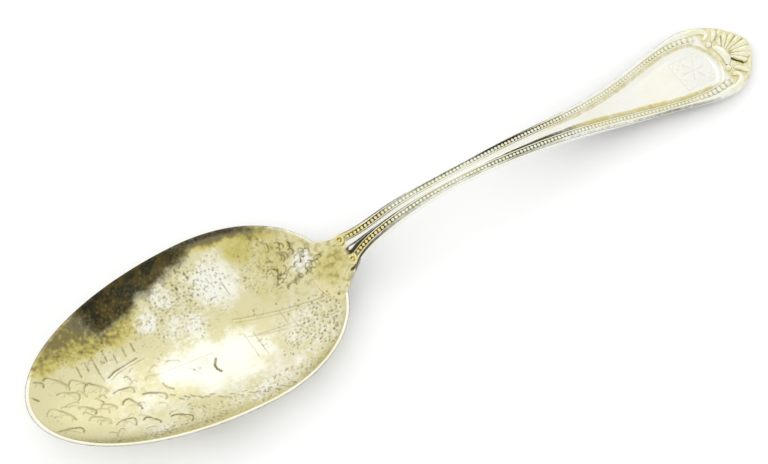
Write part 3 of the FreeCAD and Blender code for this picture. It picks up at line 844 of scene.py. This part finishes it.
def handle_tarnish_and_shade(station, side, margin):
    """Black, brown and gilt of the handle's face: tarnish and painted shade in the grooves, painted shade on
    the channel's near and far walls, in the gaps by the shell and round the near volute, tarnish and painted
    shade at the ends, and gilt.
    """
    within = np.clip(station, BORDER_START, BORDER_END)
    # tarnish and painted shade in the grooves beside the beads
    bead_seat = smooth(-0.15, 0.05, bead_reach(within) - np.abs(np.abs(side) - bead_line(within)))
    bead_seat *= (station > BORDER_START - 0.2) * (station < BORDER_END + 1.0)
    share = side / np.maximum(straight_channel(station), 0.3)
    into_wall = margin / np.maximum(channel_wall(station), 0.3)
    reach_in = np.interp(station, (62, 67, 73, 90, 110), (0.45, 0.35, -0.25, -0.3, -0.1))
    # painted shade on the channel's near wall
    near_wall = smooth(1.15, 0.8, into_wall) * smooth(0.15, -0.2, share - reach_in)
    shaded = near_wall * (margin > -0.1)
    stem = np.interp(
        station,
        (61.2, 62, 71, 75, 79, 88, 92, 97, 104, 109, 113),
        (0, 1.0, 0.95, 0.45, 0.1, 0.1, 0.7, 0.95, 0.9, 0.45, 0),
    )
    # painted shade round the near volute
    volute_ring = stroke_depth(station, side, [(60.6, -3.3), (61.7, -3.45), (62.5, -2.9)], 0.4)
    # painted shadow lines between the shell and the leaves
    near_gap = stroke_depth(station, side, [(145.1, -1.9), (145.6, -2.5), (147.0, -3.5)], 0.3)
    far_gap = stroke_depth(station, side, [(144.7, 2.6), (145.3, 3.6), (146.7, 5.4)], 0.42)
    black = np.maximum.reduce(
        [bead_seat * groove_dark(station), shaded * stem, 0.8 * near_gap, 0.3 * far_gap, 0.8 * volute_ring]
    )
    black = black + 0.15 * plan_noise(station, side, 6.0, 12) * (black > 0.02)

    _, brown = tarnish(station, side, np.full_like(station, 0.8))
    brown = brown * (1 - smooth(61.0, 64.0, station))
    # olive among the end's ornaments: tarnish and painted shade
    ends = smooth(141.2, 142.8, station)
    # painted shade: an olive line along the channel's near wall in the blade
    near_line = 0.75 * shaded * smooth(103, 111, station) * smooth(141.5, 137.0, station)
    # painted shade: olive on the channel's far wall
    far_wall = 0.62 * (margin > -0.1) * smooth(0.5, 0.25, into_wall) * (side > 0) * smooth(98, 108, station)
    brown = np.maximum.reduce([brown, 0.58 * ends, near_line, far_wall])
    gilt = np.maximum(smooth(64, 60.5, station) * gilding(station, side), 0.3 * ends)
    return np.clip(black, 0, 1), brown, gilt


def make_handle():
    """The plate: its face with the channel and the engraved panel, and its back."""
    stations = np.r_[
        np.linspace(ROOT_START, ROOT_END, 30)[:-1],
        np.linspace(ROOT_END, 146.0, 560)[:-1],
        SPOON_LENGTH - 4.0 * np.cos(np.linspace(0, math.pi / 2, 50)),
    ]
    stations[0] += 0.002
    across = 110
    shares = np.sin(np.linspace(-1, 1, across + 1) * math.pi / 2 * 0.82) / math.sin(math.pi / 2 * 0.82)
    half = plan_half_width(stations)
    station, share = np.meshgrid(stations, shares, indexing="ij")
    side = share * half[:, None]
    top = np.where(station < BORDER_START, root_height(station, side), seat_height(station))
    rounding = 0.35
    edge = np.minimum(half[:, None] - np.abs(side), rounding)
    fall = rounding - np.sqrt(np.clip(rounding**2 - (rounding - edge) ** 2, 0, None))
    top = top - fall * smooth(58, 61, station)
    # channel: round in the stem, flat with coved sides in the field
    margin = channel_margin(station, side)
    bed = 1 - np.clip(1 - margin / channel_wall(station), 0, 1) ** 2.3
    shallow = np.interp(station, (61, 68, 76, 92, 104, 112), (1.0, 0.7, 0.35, 0.35, 0.6, 1.0))
    top = top - CHANNEL_DEPTH * (margin > 0) * bed * shallow
    mark = ornament(station, side) * smooth(0.9, 1.4, margin)
    bumps = pebbles(station, side) * hammered(station, side) * (1 - smooth(60.0, 61.6, station))
    engraved = engraving(station, side) * (station < 58.0)
    sunk_edge = 0.14 * smooth(0.35, 0.05, edge) * smooth(59.0, 57.5, station)
    top = top - mark + bumps - engraved - sunk_edge

    underside, under_black = handle_underside(stations, half)
    points = np.concatenate([np.stack([station, side, top], -1), underside], 1)
    faces = grid_faces(len(stations), points.shape[1], wrap=True, flip=True)
    black, brown, gilt = handle_tarnish_and_shade(station, side, margin)
    cut = np.clip(engraved / 0.1 + mark / 0.2 + np.clip(-bumps / 0.06, 0, 0.5), 0, 1)
    none = np.zeros(under_black.shape)
    layers = {
        "black": np.concatenate([black, under_black], 1).ravel(),
        "brown": np.concatenate([brown, none + 0.15], 1).ravel(),
        "gilt": np.concatenate([gilt, none], 1).ravel(),
        "cut": np.concatenate([cut, none], 1).ravel(),
    }
    mesh_piece("handle", points.reshape(-1, 3), faces, "silver", ["handle_plate"], layers)


def strip(stations, outer, inner, height, drop=0.25, steps=12):
    """A raised band that follows the seat, half round in section: points and faces."""
    ts = np.linspace(0, math.pi, steps + 1)
    middle, half = (outer + inner) / 2, (outer - inner) / 2
    y = middle[:, None] + half[:, None] * np.cos(ts)
    lift = np.sin(ts) ** 0.7
    base = seat_height(stations)
    z = base[:, None] + height[:, None] * lift
    x = np.repeat(stations[:, None], steps + 1, 1)
    top = np.stack([x, y, z], -1)
    low_out = np.stack([stations, outer, base - drop], -1)[:, None]
    low_in = np.stack([stations, inner, base - drop], -1)[:, None]
    points = np.concatenate([low_out, top, low_in], 1)
    faces = grid_faces(len(stations), steps + 3, wrap=True)
    ends = [list(range(steps + 3)), [len(stations) * (steps + 3) - 1 - k for k in range(steps + 3)]]
    return points.reshape(-1, 3), [list(face) for face in faces] + ends


def groove_dark(station):
    """How black the grooves beside the beads are along the handle: tarnish and painted shade."""
    return np.interp(
        station,
        (62, 64, 66, 70, 73, 82, 88, 93, 99, 105, 109, 114, 130, 142),
        (0.5, 0.8, 1.0, 0.9, 0.5, 0.35, 0.4, 0.8, 0.95, 0.85, 0.45, 0.22, 0.15, 0.4),
    )


def border_layers(points, dark, seed, gilt_end=67.0):
    """Gilding that fades up the neck, and tarnish with painted shade at the pieces' feet that is black along
    the stem and brown towards the end.
    """
    station = points[:, 0]
    # dark: tarnish and painted shade at the feet of the pieces, mottled
    clouded = np.clip(dark + 0.4 * field_noise(points, 4.0, seed) * (dark > 0), 0, 1)
    end = smooth(125.0, 144.0, station)
    stain = 0.34 * end * smooth(-0.3, 0.5, field_noise(points, 0.9, seed + 20))
    neck = 0.35 * (1 - smooth(62, 69, station))
    return {
        "gilt": np.maximum(1 - smooth(gilt_end - 5, gilt_end + 2, station), 0.12 * end),
        "black": clouded * groove_dark(station),
        "brown": np.maximum.reduce([neck, stain, clouded * (0.4 + 0.5 * smooth(108, 125, station))]),
    }


def mesh_pair(name, node, points, faces, slot, dark, seed, gilt_end=67.0, edge_black=None):
    """A piece and its mirror image, with the border's tarnish and, where given, each side's own black."""
    mirrored = points * (1, -1, 1), [list(face)[::-1] for face in faces]
    for word, (side_points, side_faces) in (("left", (points, faces)), ("right", mirrored)):
        layers = border_layers(side_points, dark, seed, gilt_end)
        if edge_black:
            layers["black"] = np.maximum(layers["black"], edge_black[word])
        mesh_piece(name + word, side_points, side_faces, slot, [node + word], layers)


def make_rims():
    """The plain wires along both edges, darker on their outsides in places."""
    stations = np.linspace(BORDER_START - 0.9, BORDER_END, 420)
    outer = half_width(stations) + 0.01
    within = np.maximum(stations, BORDER_START)
    inner = np.minimum(bead_line(within) + bead_reach(within), outer - 0.12)
    height = RIM_HEIGHT * smooth(BORDER_START - 1.2, BORDER_START + 0.6, stations) + 0.02
    points, faces = strip(stations, outer, inner, height)
    station = points[:, 0]
    # tarnish and painted shade at the rims' feet, less towards the blade
    dark = 0.75 * smooth(0.12, -0.1, points[:, 2] - seat_height(station))
    dark = dark * (1 - 0.7 * smooth(100, 125, station))
    # darker along each rim's outer edge, by place and side
    edge = smooth(-0.42, -0.12, points[:, 1] - half_width(station))
    left = np.interp(
        station,
        (62, 64, 67, 70, 73, 76, 88, 92, 102, 106, 130, 136, 140),
        (0.4, 0.7, 1, 1, 0.8, 0.25, 0.25, 0.8, 0.8, 0.35, 0.2, 0.45, 0.3),
    )
    right = np.interp(
        station,
        (60, 64, 70, 76, 92, 98, 106, 120, 128, 134, 140),
        (0.9, 0.85, 0.6, 0.3, 0.3, 0.5, 0.3, 0.3, 0.6, 0.5, 0.2),
    )
    outer_dark = {"left": edge * left, "right": edge * right}
    mesh_pair("rim_", "edge_rim_", points, faces, "silver", dark, 21, edge_black=outer_dark)


def make_fillets():
    """The fine lines between the beads and the channel."""
    stations = np.linspace(BORDER_START - 0.3, BORDER_END, 420)
    within = np.maximum(stations, BORDER_START)
    outer = bead_line(within) - bead_reach(within) + 0.02
    inner = channel_half_width(within) - 0.02
    height = np.full_like(stations, FILLET_HEIGHT)
    points, faces = strip(stations, outer, inner, height, drop=0.3, steps=8)
    mesh_pair("fillet_", "inner_fillet_", points, faces, "silver", np.zeros(len(points)), 22)


def dome(centre, axes, turn=0.0, slope=0.0, spokes=14, rings=5):
    """The upper half of an ellipsoid on a short skirt, turned in plan and leaning with the seat."""
    rise = np.r_[0, np.linspace(0, math.pi / 2, rings + 1)]
    level, reach = np.sin(rise), np.cos(rise)
    level[0] = -0.2
    t = 2 * math.pi * np.arange(spokes) / spokes
    x, y, z = np.outer(reach, np.cos(t)), np.outer(reach, np.sin(t)), np.outer(level, t * 0 + 1)
    points = np.stack([x, y, z], -1).reshape(-1, 3) * axes
    cos, sin = math.cos(turn), math.sin(turn)
    points = points @ np.array([[cos, sin, 0], [-sin, cos, 0], [0, 0, 1]])
    cos, sin = math.cos(slope), math.sin(slope)
    points = points @ np.array([[cos, 0, sin], [0, 1, 0], [-sin, 0, cos]])
    return points + centre, grid_faces(rings + 2, spokes, wrap=True)


def make_beads():
    """The rows of beads, which grow towards the wide end."""
    parts = []
    station = BORDER_START + BEAD_RADIUS
    while station < BORDER_END:
        radius = float(bead_radius(station))
        slope = float(seat_slope(station))
        ahead = float(bead_line(station + radius) - bead_line(station))
        growth = (radius - BEAD_RADIUS) / (BEAD_RADIUS_END - BEAD_RADIUS)
        centre = (station, float(bead_line(station)), float(seat_height(station)) + 0.003)
        axes = (radius * 0.97, radius * (1.0 + 0.12 * growth), radius * 0.98)
        parts.append(dome(centre, axes, math.atan2(ahead, radius), math.atan(slope)))
        station += BEAD_SPACING * 2 * radius * math.cos(math.atan(slope)) / math.hypot(1.0, ahead / radius)
    points, faces = joined(parts)
    # tarnish and painted shade round each bead's foot
    dark = 0.85 * smooth(0.2, 0.02, points[:, 2] - seat_height(points[:, 0]))
    mesh_pair("beads_", "bead_border_", points, faces, "bead_silver", dark, 23, 71.0)


def tube(centres, radii, flat=1.0, spokes=14):
    """A round or flattened wire along a path of 3-D points, with flat ends."""
    tangents = np.gradient(centres, axis=0)
    tangents /= np.linalg.norm(tangents, axis=1, keepdims=True)
    across = np.cross((0, 0, 1), tangents)
    across /= np.linalg.norm(across, axis=1, keepdims=True)
    lift = np.cross(tangents, across)
    t = 2 * math.pi * np.arange(spokes)[:, None] / spokes
    section = across[:, None] * np.cos(t) + lift[:, None] * flat * np.sin(t)
    points = (centres[:, None] + radii[:, None, None] * section).reshape(-1, 3)
    faces = [list(face) for face in grid_faces(len(centres), spokes, wrap=True)]
    return points, faces + [list(range(spokes))[::-1], list(range(len(points) - spokes, len(points)))]


def ornament_pair(name, node, points, faces, seed):
    """An ornament of the ends, dark round its foot with tarnish and painted shade, and its mirror image."""
    # tarnish and painted shade round the foot
    dark = 0.8 * smooth(0.15, -0.15, points[:, 2] - seat_height(points[:, 0]))
    mesh_pair(name, node, points, faces, "bead_silver", dark, seed)


def make_volutes():
    """Rings that end the bead rows at the neck, each opening inwards like a C."""
    station, side, ring_radius = 61.45, 2.25, 0.75
    height, slope = float(seat_height(station)), math.atan(float(seat_slope(station)))
    turns = np.linspace(math.radians(-150), math.radians(150), 40)
    x, y = ring_radius * np.cos(turns), ring_radius * np.sin(turns)
    centres = np.stack([station + x * math.cos(slope), side + y, height + 0.03 + x * math.sin(slope)], 1)
    wire = 0.3 * np.sin(np.linspace(0.12, math.pi - 0.12, 40)) ** 0.35
    eye = dome((station, side, height - 0.02), (0.3, 0.3, 0.22), slope=slope)
    ornament_pair("volute_", "neck_volute_", *joined([tube(centres, wire), eye]), 24)


def make_scrolls():
    """The rims rolled round the corners, narrowing as they curl in."""
    route = [(140.2, 7.3), (142.2, 7.15), (143.2, 6.75), (143.95, 6.1)]
    route += [(144.2, 5.35), (143.6, 4.75), (142.8, 4.7)]
    steps = 70
    centres = np.concatenate([path_spline(route, steps), np.full((steps, 1), END_SEAT)], 1)
    t = np.linspace(0, 1, steps)
    width = 0.88 - 0.4 * smooth(0.15, 0.85, t)
    width = width * np.sqrt(1 - smooth(0.93, 1.0, t) * 0.9) * (0.55 + 0.45 * smooth(0.0, 0.08, t))
    ornament_pair("scroll_", "end_scroll_", *tube(centres, width, flat=0.72, spokes=20), 25)


def make_pearls():
    """A ball beside the inner end of each scroll."""
    pearl = dome((143.2, 3.1, END_SEAT), (0.68, 0.64, 0.66), spokes=28, rings=10)
    ornament_pair("pearl_", "scroll_pearl_", *pearl, 26)


def make_leaves():
    """Slanting leaves between the scrolls and the shell, bent and creased along the middle."""
    half_length, turn = 1.5, math.radians(50)
    points, faces = dome((0, 0, 0), (half_length, 0.55, 0.56), spokes=36, rings=10)
    points[:, 1] += 0.25 * (points[:, 0] / half_length) ** 2 - 0.1
    points[:, 2] *= 1 - 0.25 * np.exp(-((points[:, 1] / 0.12) ** 2))
    cos, sin = math.cos(turn), math.sin(turn)
    x = 145.15 + points[:, 0] * cos - points[:, 1] * sin
    y = 4.45 + points[:, 0] * sin + points[:, 1] * cos
    ornament_pair("leaf_", "side_leaf_", np.stack([x, y, points[:, 2] + END_SEAT], 1), faces, 27)


def make_crescent():
    """The half moon at the shell's foot: a fat crescent whose horns point back to the field."""
    turns = np.linspace(math.radians(-62), math.radians(62), 60)
    centres = np.stack([142.6 + 1.85 * np.cos(turns), 2.7 * np.sin(turns), np.full(60, END_SEAT)], 1)
    width = 0.12 + 0.78 * np.cos(turns * 1.4) ** 0.6
    points, faces = tube(centres, width, flat=0.68, spokes=24)
    height = points[:, 2] - END_SEAT
    # tarnish and painted shade round the crescent's foot
    layers = border_layers(points, 0.8 * smooth(0.15, -0.1, height), 28)
    mesh_piece("crescent", points, faces, "bead_silver", ["shell_crescent"], layers)


def make_shell():
    """The scallop at the end: a fan of seven ribs in two tiers, with a lobed edge."""
    lobes, half_angle = 7, math.radians(58)
    root, rays, steps = 144.1, 182, 70
    share, out = np.meshgrid(np.linspace(-1, 1, rays + 1), np.linspace(0.02, 1, steps + 1), indexing="ij")
    rib = np.abs(np.cos((share * 0.5 + 0.5) * lobes * math.pi - math.pi / 2))
    reach = 5.6 - np.abs(share) * 1.3 + 0.3 * rib
    radius, angle = out * reach, share * half_angle
    rounded = np.sqrt(np.clip(rib, 0, 1))
    tier_in = np.exp(-(((radius - 2.6) / 0.85) ** 2))
    tier_out = np.sqrt(np.clip(1 - ((out - 0.78) / 0.24) ** 2, 0, 1)) * (out > 0.54)
    height = 0.12 + 0.5 * rounded * np.maximum(tier_in, tier_out) * smooth(0.15, 0.35, out)
    height = height * (1 - smooth(0.97, 1.0, out) * 0.8) * (1 - 0.7 * smooth(0.97, 1.0, np.abs(share)))
    x, y = root + radius * np.cos(angle), radius * np.sin(angle)
    top = np.stack([x, y, END_SEAT + height], -1)
    skirt = np.stack([x[:, -1], y[:, -1], np.full(rays + 1, 1.2)], -1)[:, None]
    points = np.concatenate([top, skirt], 1).reshape(-1, 3)
    faces = grid_faces(rays + 1, steps + 2)
    # tarnish and painted shade low between the ribs, and on the skirt
    groove = 0.7 * (1 - smooth(0.15, 0.5, height))
    dark = np.concatenate([groove, np.full((rays + 1, 1), 0.3)], 1).ravel()
    layers = border_layers(points, dark, 29)
    mesh_piece("shell", points, faces, "bead_silver", ["shell_finial"], layers)


for make in (make_bowl_inside, make_bowl_back, make_drop, make_handle, make_rims, make_fillets, make_beads):
    make()
for make in (make_volutes, make_scrolls, make_pearls, make_leaves, make_crescent, make_shell):
    make()


# ---- floor, light and camera
def make_floor():
    """A plain white board under the spoon, wide enough to fill every view."""
    half = 1.5
    points = [(-half, -half, 0), (half, -half, 0), (half, half, 0), (-half, half, 0)]
    mesh = bpy.data.meshes.new("floor")
    mesh.from_pydata(points, [], [(0, 1, 2, 3)])
    material, tree, principled = shader("white_board")
    tint = mix_colour(tree, noise_value(tree, 30, 3), (0.93, 0.935, 0.93), (0.95, 0.95, 0.945))
    tree.links.new(tint, principled.inputs["Base Color"])
    principled.inputs["Roughness"].default_value = 0.9
    principled.inputs["Specular IOR Level"].default_value = 0.1
    mesh.materials.append(material)
    new_object("floor", mesh)


def soft_box(name, place, target, size, power, in_reflections):
    """A square lamp that faces a point, seen in the metal or only lighting the board."""
    light = bpy.data.lights.new(name, "AREA")
    light.shape = "SQUARE"
    light.size = size
    light.energy = power
    thing = new_object(name, light)
    thing.visible_glossy = in_reflections
    place, target = Vector(place), Vector(target)
    turn = (place - target).to_track_quat("Z", "Y").to_matrix().to_4x4()
    thing.matrix_world = Matrix.Translation(place) @ turn


def make_world():
    """White all round, falling off to grey towards the horizon."""
    world = bpy.data.worlds.new("studio")
    bpy.context.scene.world = world
    world.use_nodes = True
    tree = world.node_tree
    background = tree.nodes["Background"]
    coordinates = tree.nodes.new("ShaderNodeTexCoord")
    parts = tree.nodes.new("ShaderNodeSeparateXYZ")
    tree.links.new(coordinates.outputs["Generated"], parts.inputs[0])
    level = remap(tree, parts.outputs["Z"], -0.05, 0.12, 0.3, 0.97)
    tree.links.new(level, background.inputs["Strength"])
    background.inputs["Color"].default_value = (1.0, 1.0, 1.0, 1.0)


def make_camera(angles, distance, target, focal):
    """Camera looking at a point from angles in degrees: azimuth (0 looks along +Y), elevation and roll."""
    azimuth, elevation, roll = (math.radians(angle) for angle in angles)
    data = bpy.data.cameras.new("camera")
    data.lens = focal
    data.clip_start = 0.01
    thing = new_object("camera", data)
    turn = Matrix.Rotation(azimuth, 4, "Z") @ Matrix.Rotation(math.pi / 2 - elevation, 4, "X")
    turn = turn @ Matrix.Rotation(roll, 4, "Z")
    thing.matrix_world = Matrix.Translation(target) @ turn @ Matrix.Translation((0, 0, distance))
    bpy.context.scene.camera = thing


make_floor()
make_world()
soft_box("key", (-0.75, 0.42, 0.55), (0, 0, 0), 0.8, 1.5, False)
soft_box("ceiling", (-0.35, -0.6, 0.85), (0, 0, 0), 1.4, 3.1, False)
soft_box("sheen", (0.39, 0.66, 0.75), (-0.04, 0, 0), 0.6, 0.34, True)
make_camera((-29.37, 60.7, -3.04), 0.34, (-0.00539, 0.00059, 0.005), 89.9)
bpy.context.scene.view_settings.view_transform = "Standard"
